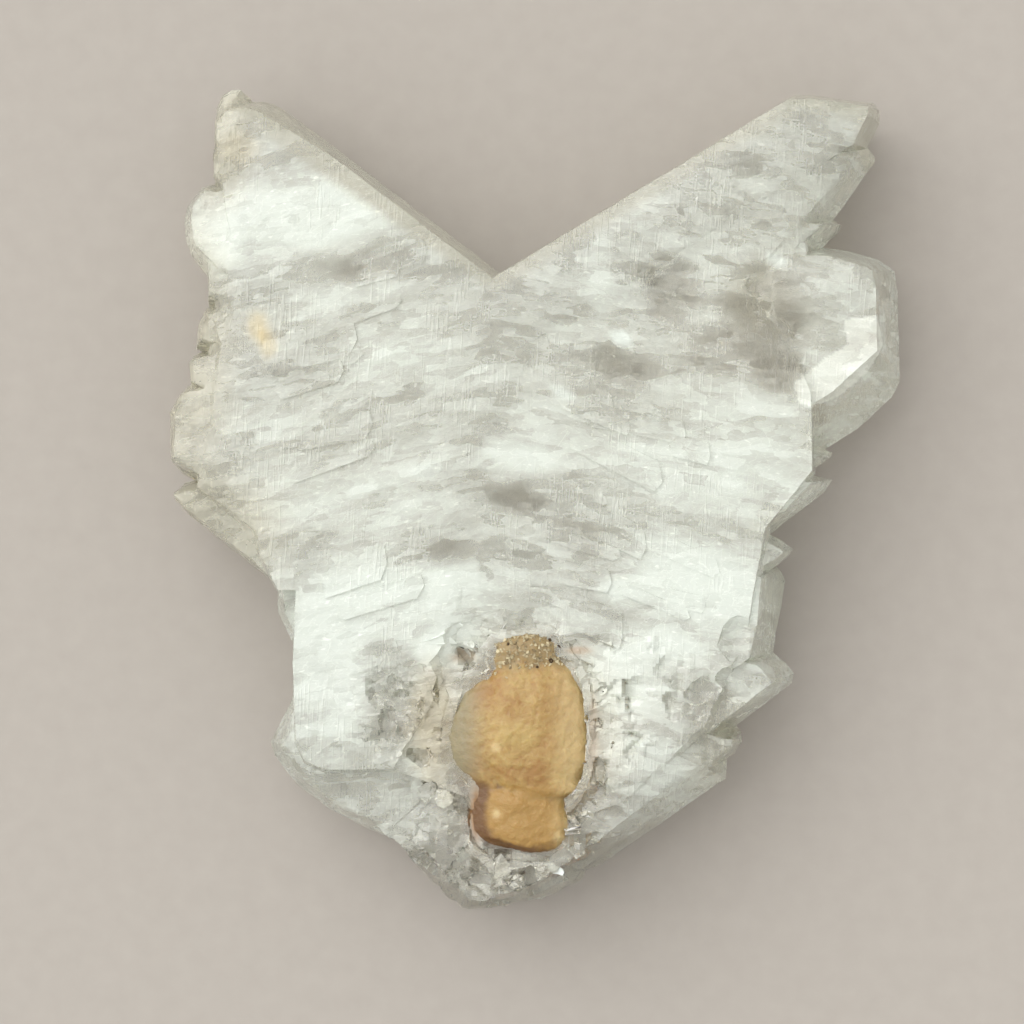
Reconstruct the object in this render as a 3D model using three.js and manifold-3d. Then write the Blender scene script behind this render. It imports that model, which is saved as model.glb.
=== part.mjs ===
// Fishtail selenite: a twinned gypsum crystal lying on its broad face, with a lump of honey calcite held in
// a crushed pocket near the foot of the twin. Millimetres, +Z up, +Y along the twin axis towards the notch
// between the wings, +X to the right wing, origin under the middle of the base.
//
// The crystal is built as it grew, as a sheaf of flat blades side by side. Each blade is a convex plate with
// a sharp girdle at about half height, and side faces that slope in from there to a flat top and a flat
// foot. The right wing's blades run up to the right and end in the saw teeth of the right flank. The left
// wing's blades mirror them and end in the lobes of the left flank. Blades that overlap grew together, so
// they are joined in one solid.
import * as THREE from "three";
import { ConvexGeometry } from "three/addons/geometries/ConvexGeometry.js";
import { mergeVertices } from "three/addons/utils/BufferGeometryUtils.js";
import Module from "manifold-3d";

const wasm = await Module();
wasm.setup();

// Driving heights and slopes.
const faceTop = 16; // the broad upper face, on the left wing and along both edges of the notch
const rightFaceTop = 15.55; // the right wing's face, a growth step lower
const ledgeTop = 12.6; // the clear ledge that the left flank stands back from
const girdleHeight = 7.5; // the sharp edge round the crystal
const faceSlope = 1.2; // how far a side face slopes in on its way to the top
const footSlope = 1.6; // and on its way to the foot
const stepSlope = 0.15; // side slope of a growth step that lies within the broad face
const plateFoot = 11; // growth plates reach this far down into the crystal
const plateGirdle = 13;

// The lump of calcite, as rounded blocks that grew into each other.
const lumpLobes = {
  crown: { centre: [1.0, -22.4, 11.0], radii: [5.9, 8.4, 5.9], boxiness: 2.7 },
  ridge: { centre: [-0.6, -22.4, 11.0], radii: [5.8, 8.0, 5.9], boxiness: 2.8 },
  flank: { centre: [-2.2, -22.7, 10.9], radii: [6.0, 7.2, 5.6], boxiness: 2.8 },
  footBlock: { centre: [-0.5, -30.3, 10.6], radii: [4.2, 4.2, 5.4], boxiness: 4.5 },
  sandyCrust: { centre: [0.0, -15.3, 12.6], radii: [4.2, 2.6, 3.5], boxiness: 3 },
};
const lumpDetail = 4; // subdivisions of the icosahedron that each lobe starts from
const pocketGap = 0.4; // clearance between the lump and the crystal all round
// The crystal stands off from the foot block's left and lower sides, so the block's wall shows there.
const moat = { centre: [-1.0, -30.9, 16.6], radii: [5.0, 4.5, 4.0], boxiness: 3 };

// ------------------------------------------------------------------------------------------- solids

function solidOf(geometry) {
  const bare = new THREE.BufferGeometry();
  bare.setAttribute("position", geometry.getAttribute("position"));
  if (geometry.index) bare.setIndex(geometry.index);
  const merged = mergeVertices(bare, 1e-4);
  return new wasm.Manifold(
    new wasm.Mesh({
      numProp: 3,
      vertProperties: merged.attributes.position.array,
      triVerts: new Uint32Array(merged.index.array),
    }),
  );
}

function geometryOf(solid) {
  const mesh = solid.getMesh();
  const geometry = new THREE.BufferGeometry();
  geometry.setAttribute("position", new THREE.BufferAttribute(mesh.vertProperties, 3));
  geometry.setIndex(new THREE.BufferAttribute(mesh.triVerts, 1));
  geometry.computeVertexNormals();
  return geometry;
}

const joined = (solids) => solids.reduce((whole, solid) => whole.add(solid));

// A repeatable stream of numbers from 0 to 1.
function numbersFrom(seed) {
  let state = seed;
  return () => {
    state = (state * 1664525 + 1013904223) % 4294967296;
    return state / 4294967296;
  };
}

// ------------------------------------------------------------------------------------------- blades

// Moves each edge of an outline inwards. An outline runs clockwise seen from above, as [x, y] corners, and
// a corner's third number, if it has one, is the slope of the face that starts there.
function movedIn(outline, width) {
  let kept = outline.map(([x, y]) => [x, y]);
  outline.forEach(([ax, ay, own], i) => {
    const [bx, by] = outline[(i + 1) % outline.length];
    const length = Math.hypot(bx - ax, by - ay);
    const limit = own ?? width;
    const inside = ([x, y]) => ((x - ax) * (by - ay) - (y - ay) * (bx - ax)) / length - limit;
    kept = kept.flatMap((p, k) => {
      const q = kept[(k + 1) % kept.length];
      const dp = inside(p);
      const dq = inside(q);
      const here = dp >= 0 ? [p] : [];
      if (dp * dq >= 0) return here;
      const t = dp / (dp - dq);
      return [...here, [p[0] + t * (q[0] - p[0]), p[1] + t * (q[1] - p[1])]];
    });
  });
  return kept;
}

function blade(outline, shape = {}) {
  const { top = faceTop, foot = 0, girdle = girdleHeight, slope = faceSlope, under = footSlope } = shape;
  const plainOutline = outline.map(([x, y]) => [x, y]);
  const at = (points, z) => points.map(([x, y]) => new THREE.Vector3(x, y, z));
  return solidOf(
    new ConvexGeometry([
      ...at(plainOutline, girdle),
      ...at(movedIn(outline, slope), top),
      ...at(movedIn(plainOutline, under), foot),
    ]),
  );
}

// A growth plate lies on the heart and shows only its upper part, with narrow sides.
function plate(outline, top, slope = stepSlope) {
  return blade(outline, { top, slope, foot: plateFoot, girdle: plateGirdle, under: 0.5 });
}

// The heart of the twin, two thick plates that all the blades spring from.
const heartSide = [
  [-20.0, 21.5], [-3.1, 22.3], [15.0, 22.0], [23.5, 13.0], [24.5, 2.0], [20.0, -14.0], [8.0, -28.0],
];
const heart = [
  blade(
    [...heartSide, [-2.0, -36.5], [-8.0, -36.0], [-22.0, -14.0], [-29.5, 4.0], [-29.5, 12.0]],
    { top: 12.0, slope: 0.6 },
  ),
  blade(
    [...heartSide, [2.0, -32.5], [-21.0, -24.0], [-23.2, -8.0], [-24.0, 4.0], [-23.5, 14.0]],
    { top: 15.0, foot: 6.0, girdle: 9.0, slope: 0.5 },
  ),
];

// ------------------------------------------------------------------------------------------- right wing

// Its blades share the direction of the notch's right edge, and each tooth is the end of one blade.
const crest = blade([
  [-6.1, 21.0, 0.9], [26.3, 40.3, 1.6], [27.9, 40.3, 1.6], [34.1, 39.4, 1.8], [34.7, 38.7, 1.6],
  [34.7, 37.3, 1.4], [33.5, 34.8, 0.5], [-0.1, 14.3, 0.2], [-6.1, 14.3, 0.2],
]);
const upperTeeth = [
  blade(
    [
      [8.0, 20.0], [22.9, 34.6], [33.5, 34.85, 0.5], [34.15, 34.0], [34.2, 33.4],
      [33.1, 32.2], [30.5, 28.5], [30.2, 27.8], [20.9, 19.0], [6.9, 7.0],
    ],
    { top: 15.1, girdle: 8.2 },
  ),
  blade(
    [
      [6.9, 16.0], [24.9, 28.3], [30.2, 27.9], [31.0, 27.35],
      [30.5, 26.35], [29.05, 25.2], [20.9, 18.0], [8.9, 7.0],
    ],
    { top: 14.3, girdle: 6.8, foot: 1.2 },
  ),
];
// The shoulder between the upper teeth and the side crystal.
const shoulder = blade(
  [[17.5, 22.0], [24.9, 27.6], [28.0, 25.4], [28.0, 20.0], [20.0, 14.0]],
  { top: 13.9, slope: 0.6, foot: 1.2 },
);
// The wing's face ends beside the side crystal in a straight edge.
const edgePlate = blade(
  [
    [3.0, 19.0, 0.3], [18.9, 25.0, 0.6], [21.5, 21.5, 0.4], [26.9, 13.2, 0.4],
    [28.2, 10.0, 0.5], [28.3, 2.6, 0.5], [18.0, -10.0], [3.0, -10.0],
  ],
  { top: rightFaceTop, girdle: 9 },
);
const narrowTeeth = [
  blade(
    [[16.9, 9.0], [28.1, 5.2], [30.0, 4.75], [29.8, 4.1], [28.05, 3.1], [16.9, -4.0]],
    { top: 12.4, girdle: 8.4, foot: 2.4, slope: 0.7 },
  ),
  blade(
    [
      [11.9, 6.0], [28.1, 2.4], [30.1, 2.05], [29.3, 0.8], [27.0, -0.7],
      [24.8, -2.5], [23.9, -3.4], [12.9, -10.0], [6.9, -2.0],
    ],
    { top: 14.4, girdle: 7.0, slope: 0.8 },
  ),
  blade(
    [
      [12.9, 0.0], [23.9, -3.4], [25.0, -4.0], [26.1, -4.9],
      [25.5, -5.8], [24.5, -6.6], [14.9, -12.0], [6.9, -8.0],
    ],
    { top: 13.7, girdle: 8.8, foot: 0.9, slope: 0.8 },
  ),
];
const roundLobe = blade(
  [
    [11.9, -4.0], [24.5, -6.6], [25.0, -7.2, 1.8], [25.4, -8.05, 1.9], [25.0, -10.1, 2.1],
    [24.5, -12.4, 2.1], [24.2, -15.2], [16.9, -20.0], [8.9, -14.0],
  ],
  { top: 14.9, girdle: 6.2, foot: 0.4 },
);
const cornerBlocks = [
  blade(
    [
      [11.9, -13.0], [24.1, -15.1, 1.8], [25.5, -16.2, 2.2], [26.25, -17.2, 2.0], [26.0, -18.25, 1.6],
      [23.6, -20.1, 1.3], [20.7, -22.3, 1.3], [10.9, -29.0], [4.9, -22.0],
    ],
    { top: 14.2, girdle: 7.6 },
  ),
  blade(
    [
      [6.9, -20.0], [20.5, -22.4], [21.1, -23.0], [21.1, -24.1],
      [20.3, -25.4], [19.6, -25.9], [6.9, -35.0], [2.9, -26.0],
    ],
    { top: 13.4, girdle: 6.6, slope: 1.0, foot: 0.5 },
  ),
];
// The long straight edge that runs down to the foot.
const longEdge = blade(
  [
    [-6.1, -30.0], [6.9, -20.0], [19.6, -25.8, 1.0], [19.5, -27.7, 2.2],
    [7.3, -36.0, 2.4], [4.1, -38.4, 2.4], [-3.1, -40.3], [-8.0, -37.0],
  ],
  { top: 14.6, girdle: 8.0 },
);

// The side crystal, a stubby crystal of its own direction grown into the right wing's flank. Its outer
// faces are broad and clean, and its foot stays clear of the surface that the twin rests on.
const sideCrystal = blade(
  [
    [22.9, 23.0, 0.8], [25.9, 24.9, 1.3], [29.0, 25.2, 1.5], [31.35, 24.9, 1.7], [34.5, 24.0, 2.0],
    [36.2, 22.8, 2.6], [36.5, 21.0, 2.6], [36.75, 11.8, 3.4], [36.0, 10.2, 4.4], [32.5, 7.0, 4.4],
    [29.5, 5.1, 3.2], [27.6, 4.2, 1.0], [22.0, 8.0, 0.8], [20.0, 15.0, 0.8],
  ],
  { top: 14.6, girdle: 6.6, foot: 0.6, under: 2.4 },
);
// Thin lamellae on its face lie one beside the other like the leaves of a book, each a little lower.
const lamellae = [
  [[22.4, 20.9], [27.6, 22.6], [32.6, 21.4], [32.0, 20.4], [22.6, 19.6]],
  [[22.6, 19.4], [30.8, 20.2], [31.4, 18.9], [29.0, 18.0], [22.4, 17.8]],
  [[23.0, 17.6], [28.6, 18.0], [30.6, 16.8], [29.6, 16.0], [22.4, 15.8]],
  [[21.0, 12.4], [23.4, 13.0], [24.6, 10.8], [24.0, 9.2], [21.4, 9.4]],
].map((outline, i) => plate(outline, 15.2 - 0.17 * i, 0.12));

// ------------------------------------------------------------------------------------------- left wing

// Its face is one growth step above the right wing's. Its blades lie the other way.
const leftCrest = blade([
  [-31.7, 37.5, 1.2], [-30.3, 39.4, 1.4], [-28.0, 40.2, 1.6], [-26.9, 40.2, 1.8], [-25.8, 39.9, 1.8],
  [-24.5, 39.1, 1.0], [-0.1, 20.5, 0.2], [-0.1, 12.0, 0.2], [-13.1, 7.0], [-29.1, 20.0], [-31.9, 35.0],
]);
const bluntTip = blade(
  [
    [-31.8, 38.0], [-31.7, 39.3, 1.6], [-31.0, 40.7, 2.0], [-30.0, 41.2, 2.2], [-29.1, 41.2, 1.8],
    [-28.0, 40.3], [-26.9, 38.2], [-28.1, 33.5], [-31.9, 35.0],
  ],
  { top: 13.6, girdle: 8.6, foot: 1.5 },
);
// The lobes of the outer flank, from the tip down.
const flankLobes = [
  blade(
    [[-32.3, 34.3], [-31.9, 35.4], [-27.1, 36.0], [-24.1, 30.0], [-27.1, 24.0], [-32.1, 31.7]],
    { top: 15.0, girdle: 6.4, foot: 0.8 },
  ),
  blade(
    [
      [-34.8, 26.2, 1.9], [-34.9, 27.8, 1.9], [-34.6, 29.4, 1.7], [-33.65, 30.7, 1.5], [-33.1, 31.45],
      [-31.9, 31.8], [-23.1, 30.0], [-22.1, 17.0], [-32.7, 22.5], [-33.5, 23.9, 1.4], [-34.2, 24.6, 1.6],
    ],
    { top: 15.3, girdle: 8.4, foot: 0.3 },
  ),
  blade(
    [[-32.7, 24.5], [-23.1, 27.0], [-21.1, 15.0], [-32.7, 19.2]],
    { top: 15.0, girdle: 6.8 },
  ),
  blade(
    [[-33.45, 16.2], [-33.45, 17.85], [-32.7, 19.4], [-23.1, 21.0], [-23.1, 12.0], [-33.8, 15.0]],
    { top: 14.6, girdle: 8.4, foot: 1.1 },
  ),
  blade(
    [[-34.5, 11.6], [-34.6, 13.9], [-33.8, 15.0], [-23.1, 17.0], [-23.1, 5.0], [-34.1, 10.8]],
    { top: 15.2, girdle: 6.5, foot: 0.5 },
  ),
  blade(
    [
      [-36.5, 5.1, 1.7], [-36.5, 8.8, 1.6], [-35.9, 10.1], [-34.5, 11.6], [-23.1, 14.0],
      [-20.1, -4.0], [-34.1, 2.0], [-35.1, 2.5], [-36.3, 3.9, 1.4],
    ],
    { top: 15.4, girdle: 8.0 },
  ),
];
// The clear ledge: a smooth strip below the lobes, then the foot of the flank.
const ledge = [
  blade(
    [
      [-36.1, 0.0, 0.9], [-36.3, 0.76, 0.9], [-35.0, 1.85], [-23.1, 5.0],
      [-11.1, -6.0], [-13.1, -14.0], [-25.55, -8.74, 0.9], [-34.7, -1.6, 0.9],
    ],
    { top: ledgeTop, girdle: 7.0 },
  ),
  blade(
    [[-25.4, -11.3], [-25.55, -8.7], [-23.1, -4.0], [-11.1, -6.0], [-11.1, -20.0], [-24.1, -14.1]],
    { top: ledgeTop - 0.5, girdle: 8.0, foot: 0.6 },
  ),
  blade(
    [[-24.0, -16.8], [-24.1, -14.0], [-23.1, -10.0], [-10.1, -10.0], [-10.1, -26.0], [-24.2, -20.7]],
    { top: ledgeTop - 1, girdle: 6.4 },
  ),
  blade(
    [
      [-26.35, -24.3, 1.6], [-25.0, -22.2], [-24.2, -20.6], [-22.1, -16.0], [-8.1, -18.0],
      [-9.1, -30.0], [-13.7, -34.4, 1.6], [-20.5, -31.0, 1.8], [-23.7, -28.55, 2.0], [-26.0, -25.6, 2.0],
    ],
    { top: ledgeTop - 0.3, girdle: 7.2 },
  ),
];
const twinFoot = [
  blade(
    [[-18.0, -30.5], [-12.0, -26.0], [-5.0, -28.0], [-6.0, -35.0], [-11.3, -36.4], [-13.9, -34.1]],
    { top: 12.0, girdle: 6.8, slope: 0.6 },
  ),
  blade(
    [
      [-13.7, -34.4, 1.6], [-10.1, -26.0], [2.9, -24.0], [6.9, -29.0], [7.3, -36.0, 2.2],
      [4.1, -38.4, 2.2], [1.6, -39.8, 1.8], [-2.0, -40.7, 1.6], [-6.2, -41.3, 1.8],
      [-7.1, -41.1, 1.8], [-9.1, -39.25, 2.0], [-11.2, -36.9, 2.0],
    ],
    { top: 13.2, girdle: 6.8 },
  ),
];

// ------------------------------------------------------------------------------------------- broad face

// The left half's right border zigzags down the twin seam as a growth step: by turns along the twin axis
// and along the right wing's direction. Its left border stands back from the clear ledge.
const leftFace = [
  [[-22.0, 23.0], [-9.0, 23.0], [-1.0, 18.0], [-1.0, 9.7], [-4.7, 6.8], [-22.0, 2.0]],
  [[-3.0, 22.0], [0.6, 18.0], [0.2, 12.8], [-6.0, 12.8]],
  [[-29.8, 31.0, 1.6], [-24.0, 34.0], [-18.0, 22.0], [-28.0, 20.0], [-31.2, 24.0, 1.8]],
  [
    [-30.4, 24.0, 1.8], [-20.0, 25.0], [-10.0, 4.0], [-30.0, 0.0],
    [-32.8, 5.0, 1.6], [-32.0, 12.0, 1.4], [-31.5, 16.0, 1.4],
  ],
  [
    [-30.4, 12.0, 1.2], [-4.7, 12.0], [-4.7, 6.8], [-4.9, 1.9],
    [-5.9, 1.1], [-27.4, -3.2, 0.6], [-33.0, 1.0, 0.6],
  ],
  [[-27.6, -2.0, 0.6], [-6.0, 3.0], [-6.1, -5.8], [-10.0, -9.0], [-24.9, -9.0, 0.6], [-26.8, -5.6, 0.6]],
  [
    [-23.0, -8.0], [-6.2, -6.0], [-6.3, -14.0], [-9.1, -20.0], [-13.1, -26.8, 0.5],
    [-19.9, -27.0, 0.5], [-22.1, -26.0, 0.5], [-23.1, -24.0, 0.5], [-23.3, -16.0, 0.5],
  ],
];
const rightFace = [
  [
    [-8.0, 14.0], [18.0, 22.0], [23.8, 9.0], [24.0, -2.0, 0.6], [21.8, -14.0, 0.9],
    [18.2, -22.4, 0.9], [9.5, -30.5, 1.0], [4.0, -33.5, 1.0], [-3.0, -34.0, 0.8], [-8.0, -20.0],
  ],
];

// Thin growth plates scattered over both halves. Each stands a hair above the face that it grew on, and
// leans towards the twin seam like the other plates of its half, so together they run in a chevron.
const terraces = [
  { count: 9, seed: 3, low: [-24.0, 3.0], high: [-10.0, 24.0], rise: 0.3, face: faceTop },
  { count: 8, seed: 21, low: [-16.5, -19.0], high: [-9.0, 1.0], rise: 0.3, face: faceTop },
  { count: 17, seed: 8, low: [4.0, -12.0], high: [16.5, 17.0], rise: -0.42, face: rightFaceTop },
];
function terracePlates({ count, seed, low, high, rise, face }) {
  const next = numbersFrom(seed);
  return Array.from({ length: count }, () => {
    const x = low[0] + (high[0] - low[0]) * next();
    const y = low[1] + (high[1] - low[1]) * next();
    const long = 1.8 + 3.0 * next();
    const tall = 0.6 + 1.4 * next();
    const lean = rise * (0.5 + 0.8 * next());
    const blunt = 0.35 + 0.3 * next();
    const outline = [
      [x - long, y - tall],
      [x - long - blunt, y],
      [x - long * 0.8, y + tall],
      [x + long * 0.9, y + tall * 1.1],
      [x + long, y],
      [x + long * 0.8, y - tall * 0.9],
    ].map(([px, py]) => [px, py + lean * (px - x)]);
    return plate(outline, face + 0.07 + 0.15 * next(), 0.08);
  });
}

// ------------------------------------------------------------------------------------------- fractures

// A chip of many flat facets, as broken crystal has: the hull of points spread over an ellipsoid, some
// pushed in.
function chip([x, y, z], [rx, ry, rz], corners, next) {
  const golden = Math.PI * (3 - Math.sqrt(5));
  const points = Array.from({ length: corners }, (_, i) => {
    const height = 1 - (2 * (i + 0.5)) / corners;
    const ring = Math.sqrt(1 - height * height);
    const turn = golden * i + 0.5 * next();
    const reach = 0.78 + 0.22 * next();
    return new THREE.Vector3(
      x + rx * reach * ring * Math.cos(turn),
      y + ry * reach * ring * Math.sin(turn),
      z + rz * reach * height,
    );
  });
  return solidOf(new ConvexGeometry(points));
}

// The crushed rim: overlapping scoops round the lump, with a few shards left standing among them.
const rim = { centre: [-0.5, -24.0], reach: [8.6, 12.4], corners: 20 };
function rimChips({ count, seed, from = 0, to = 2 * Math.PI, out, size, height }) {
  const next = numbersFrom(seed);
  return Array.from({ length: count }, (_, i) => {
    const turn = from + ((to - from) * (i + 0.5 * next())) / count;
    const away = out + 0.2 * (next() - 0.5);
    const spread = size * (0.7 + 0.6 * next());
    const centre = [
      rim.centre[0] + rim.reach[0] * away * Math.cos(turn),
      rim.centre[1] + rim.reach[1] * away * Math.sin(turn),
      height + 0.7 * (next() - 0.5),
    ];
    return chip(centre, [spread, spread * (0.7 + 0.4 * next()), spread * 0.62], rim.corners, next);
  });
}
const lowerLeft = { from: 0.95 * Math.PI, to: 1.5 * Math.PI };
const rimScoops = [
  ...rimChips({ count: 27, seed: 11, out: 0.97, size: 2.4, height: 16.3 }),
  ...rimChips({ count: 8, seed: 12, out: 1.12, size: 2.3, height: 13.9, ...lowerLeft }),
];
const rimShards = [
  ...rimChips({ count: 18, seed: 29, out: 1.04, size: 1.2, height: 14.5 }),
  ...rimChips({ count: 7, seed: 31, out: 1.2, size: 1.3, height: 12.4, ...lowerLeft }),
];

// Conchoidal breaks on the faces and along the flanks: the middle x, y, z and the reach along x, y, z.
const breaks = [
  // left of the lump, and down to the foot
  [-11.6, -18.6, 16.9, 3.3, 3.6, 1.7],
  [-14.8, -22.6, 16.8, 3.0, 2.3, 1.5],
  [-9.4, -28.6, 16.2, 3.4, 3.0, 2.4],
  [-10.8, -33.2, 14.6, 3.4, 2.6, 2.0],
  [-6.4, -36.6, 14.4, 3.2, 2.4, 1.9],
  [0.6, -37.4, 14.8, 3.4, 1.9, 1.9],
  [6.4, -33.4, 15.9, 3.2, 2.4, 1.9],
  [9.4, -28.4, 16.6, 3.2, 3.0, 1.9],
  // the left tip and flank
  [-27.6, 35.8, 16.4, 2.3, 2.9, 1.4],
  [-29.2, 31.4, 16.3, 1.9, 2.3, 1.6],
  [-30.9, 18.2, 16.0, 2.2, 3.4, 1.9],
  [-32.4, 7.2, 16.2, 2.3, 2.9, 1.8],
  [-29.8, 12.4, 17.0, 2.6, 2.2, 1.5],
  // the side crystal's inner side
  [24.6, 19.4, 16.4, 2.8, 2.0, 2.3],
  [27.4, 22.2, 16.0, 2.6, 1.5, 1.7],
  [26.8, 16.2, 16.6, 3.2, 2.2, 2.4],
  [23.8, 23.6, 16.7, 1.7, 1.1, 1.5],
  // the right flank
  [20.6, -13.8, 16.0, 2.4, 3.0, 1.6],
  [17.6, -18.6, 16.2, 2.8, 1.7, 1.5],
  [19.9, -17.4, 15.4, 1.9, 1.3, 1.4],
];
const breakCorners = 26;
const nextBreak = numbersFrom(5);
const breakScoops = breaks.map(([x, y, z, ...reach]) => chip([x, y, z], reach, breakCorners, nextBreak));

// ------------------------------------------------------------------------------------------- the lump

// A rounded block: a sphere pushed out towards its corners by the boxiness, 2 for an ellipsoid.
function lobe({ centre, radii, boxiness }, grown = 0) {
  const geometry = new THREE.IcosahedronGeometry(1, lumpDetail);
  const position = geometry.getAttribute("position");
  const point = new THREE.Vector3();
  for (let i = 0; i < position.count; i++) {
    point.fromBufferAttribute(position, i);
    const [x, y, z] = point.toArray().map(Math.abs);
    const reach = (x ** boxiness + y ** boxiness + z ** boxiness) ** (-1 / boxiness);
    // Shallow dents keep the lump from looking turned. The pocket has them too, so the gap stays even.
    const dents =
      1 + 0.025 * Math.sin(5 * point.x + 2 * point.z) + 0.02 * Math.sin(4 * point.y - 3 * point.x);
    position.setXYZ(
      i,
      centre[0] + point.x * reach * dents * (radii[0] + grown),
      centre[1] + point.y * reach * dents * (radii[1] + grown),
      centre[2] + point.z * reach * dents * (radii[2] + grown),
    );
  }
  return solidOf(geometry);
}
const lump = joined(Object.values(lumpLobes).map((each) => lobe(each)));
const pocket = joined(Object.values(lumpLobes).map((each) => lobe(each, pocketGap)));

// ------------------------------------------------------------------------------------------- specimen

const blades = [
  ...heart,
  crest,
  ...upperTeeth,
  shoulder,
  edgePlate,
  ...narrowTeeth,
  roundLobe,
  ...cornerBlocks,
  longEdge,
  sideCrystal,
  ...lamellae,
  leftCrest,
  bluntTip,
  ...flankLobes,
  ...ledge,
  ...twinFoot,
  ...leftFace.map((outline) => plate(outline, faceTop)),
  ...rightFace.map((outline) => plate(outline, rightFaceTop)),
  ...terraces.flatMap(terracePlates),
];
const broken = joined(blades).subtract(joined([...rimScoops, ...breakScoops]));
const hollowed = broken.add(joined(rimShards)).subtract(pocket).subtract(lobe(moat));
// What the pocket's edge cuts loose is swept away, and the one large body stays.
const selenite = hollowed
  .decompose()
  .reduce((most, body) => (body.volume() > most.volume() ? body : most));

const seleniteMaterial = new THREE.MeshStandardMaterial({
  color: 0xe4e4dc,
  roughness: 0.18,
  metalness: 0,
  transparent: true,
  opacity: 0.6,
});
const calciteMaterial = new THREE.MeshStandardMaterial({ color: 0xd9b27a, roughness: 0.55, metalness: 0 });

function named(name, solid, material) {
  const mesh = new THREE.Mesh(geometryOf(solid), material);
  mesh.name = name;
  return mesh;
}

const specimen = new THREE.Group();
specimen.name = "fishtail_selenite";
specimen.add(named("selenite_twin", selenite, seleniteMaterial));
specimen.add(named("honey_calcite_lump", lump, calciteMaterial));

// Put the middle of the base on the origin.
const middle = new THREE.Box3().setFromObject(specimen).getCenter(new THREE.Vector3());
specimen.position.set(-middle.x, -middle.y, 0);

export default specimen;
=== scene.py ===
import math
import random

import bpy
from mathutils import Matrix, Vector, noise
from mathutils.bvhtree import BVHTree


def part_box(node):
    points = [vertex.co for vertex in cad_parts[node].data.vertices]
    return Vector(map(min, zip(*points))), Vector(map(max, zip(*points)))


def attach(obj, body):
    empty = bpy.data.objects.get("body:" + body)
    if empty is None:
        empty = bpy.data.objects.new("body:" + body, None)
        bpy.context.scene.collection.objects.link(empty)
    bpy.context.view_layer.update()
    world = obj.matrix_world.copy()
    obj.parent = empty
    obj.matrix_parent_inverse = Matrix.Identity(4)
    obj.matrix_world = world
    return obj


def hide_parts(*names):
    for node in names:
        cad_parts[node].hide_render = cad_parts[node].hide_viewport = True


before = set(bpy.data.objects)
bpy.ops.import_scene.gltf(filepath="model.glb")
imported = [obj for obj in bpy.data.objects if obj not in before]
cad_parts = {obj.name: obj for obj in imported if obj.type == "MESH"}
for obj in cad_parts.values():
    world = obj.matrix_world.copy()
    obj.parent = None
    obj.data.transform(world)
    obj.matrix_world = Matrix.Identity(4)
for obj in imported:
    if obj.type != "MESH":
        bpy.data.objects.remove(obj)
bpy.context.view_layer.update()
millimetre = 0.001


# Small helpers. Names that end in Mm are lengths in millimetres, those in Deg are angles in degrees.

def place(*point):  # millimetres to metres
    return Vector(point) * millimetre


def toLinear(hexColour):
    channels = [int(hexColour[i:i + 2], 16) / 255 for i in (1, 3, 5)]
    return [c / 12.92 if c <= 0.04045 else ((c + 0.055) / 1.055) ** 2.4 for c in channels] + [1.0]


def addNode(tree, kind, settings=None, links=None):
    node = tree.nodes.new(kind)
    for key, value in (settings or {}).items():
        if isinstance(key, int) or key in node.inputs:
            node.inputs[key].default_value = value
        else:
            setattr(node, key, value)
    for key, source in (links or {}).items():  # a plain number is set, a socket is linked
        if isinstance(source, float):
            node.inputs[key].default_value = source
        else:
            tree.links.new(source, node.inputs[key])
    return node


def newMaterial(name):
    material = bpy.data.materials.new(name)
    material.use_nodes = True
    material.node_tree.nodes.clear()
    return material, material.node_tree


def newTree(name):  # geometry nodes that take in a mesh and give one back
    tree = bpy.data.node_groups.new(name, "GeometryNodeTree")
    for side in ("INPUT", "OUTPUT"):
        tree.interface.new_socket("Geometry", in_out=side, socket_type="NodeSocketGeometry")
    return tree


def pickOnly(piece):
    if bpy.context.object and bpy.context.object.mode != "OBJECT":
        bpy.ops.object.mode_set(mode="OBJECT")
    bpy.ops.object.select_all(action="DESELECT")
    piece.select_set(True)
    bpy.context.view_layer.objects.active = piece


def applyModifier(piece, kind, **settings):
    pickOnly(piece)
    modifier = piece.modifiers.new(kind.title(), kind)
    for key, value in settings.items():
        setattr(modifier, key, value)
    bpy.ops.object.modifier_apply(modifier=modifier.name)


def openAll(piece):  # edit mode, with everything selected
    pickOnly(piece)
    bpy.ops.object.mode_set(mode="EDIT")
    bpy.ops.mesh.select_all(action="SELECT")


def duplicatePiece(piece, name):
    copied = bpy.data.objects.new(name, piece.data.copy())
    bpy.context.scene.collection.objects.link(copied)
    return copied


def copyOfNode(nodeName, pieceName):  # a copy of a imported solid, its loose triangles merged
    piece = duplicatePiece(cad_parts[nodeName], pieceName)
    piece.data.materials.clear()
    openAll(piece)
    bpy.ops.mesh.remove_doubles(threshold=1e-6)
    bpy.ops.mesh.select_all(action="SELECT")
    bpy.ops.mesh.dissolve_limited(angle_limit=math.radians(0.1))
    bpy.ops.object.mode_set(mode="OBJECT")
    bpy.ops.mesh.customdata_custom_splitnormals_clear()
    return piece


def selectVertices(piece, test):  # leaves the piece in edit mode with those vertices selected
    pickOnly(piece)
    bpy.ops.object.mode_set(mode="EDIT")
    bpy.ops.mesh.select_all(action="DESELECT")
    bpy.ops.mesh.select_mode(type="VERT")
    bpy.ops.object.mode_set(mode="OBJECT")
    for vertex in piece.data.vertices:
        vertex.select = test(vertex.co)
    bpy.ops.object.mode_set(mode="EDIT")


def joinPieces(pieces, name):
    pickOnly(pieces[0])
    for piece in pieces:
        piece.select_set(True)
    bpy.ops.object.join()
    joined = bpy.context.object
    joined.name = joined.data.name = name
    return joined


def removePiece(piece):
    mesh = piece.data
    bpy.data.objects.remove(piece)
    bpy.data.meshes.remove(mesh)


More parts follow.
